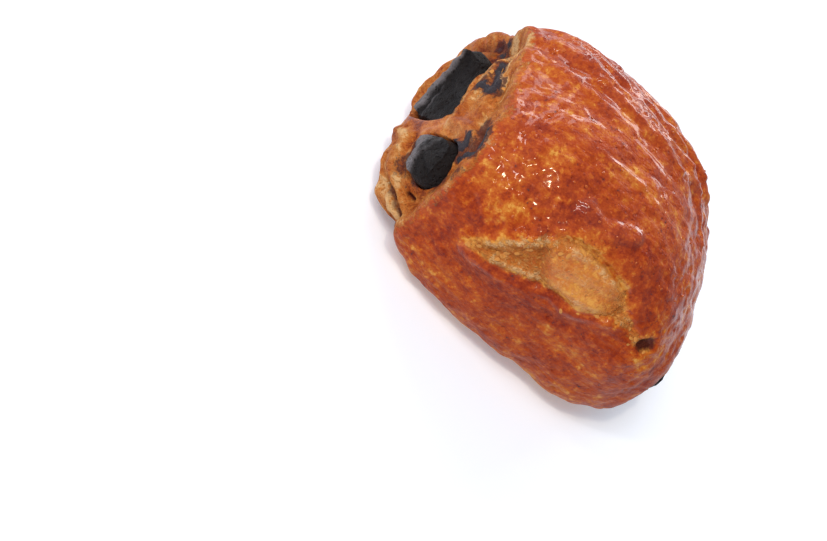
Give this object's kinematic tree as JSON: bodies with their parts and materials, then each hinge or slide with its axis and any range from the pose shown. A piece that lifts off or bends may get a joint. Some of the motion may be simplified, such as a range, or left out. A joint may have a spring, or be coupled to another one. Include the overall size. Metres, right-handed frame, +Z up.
{
  "type": "pain au chocolat",
  "caption": "Baked roll of laminated dough with a glazed crust and chocolate batons that run through it and show at both ends.",
  "frame": {"origin": "on the resting surface, under the middle of the pastry's box", "axes": "+X along the roll and its batons, away from the shown end; +Z up through the domed crust"},
  "size_m": [0.0772, 0.0632, 0.0454],
  "materials": {
    "crust": "baked, egg-glazed laminated dough, glossy red-brown with paler layers at the tear and the ends",
    "chocolate": "dark baked chocolate, dull with waxy edges"
  },
  "bodies": {
    "root": {"pastry": "crust", "baton_1": "chocolate", "baton_2": "chocolate"}
  },
  "joints": []
}
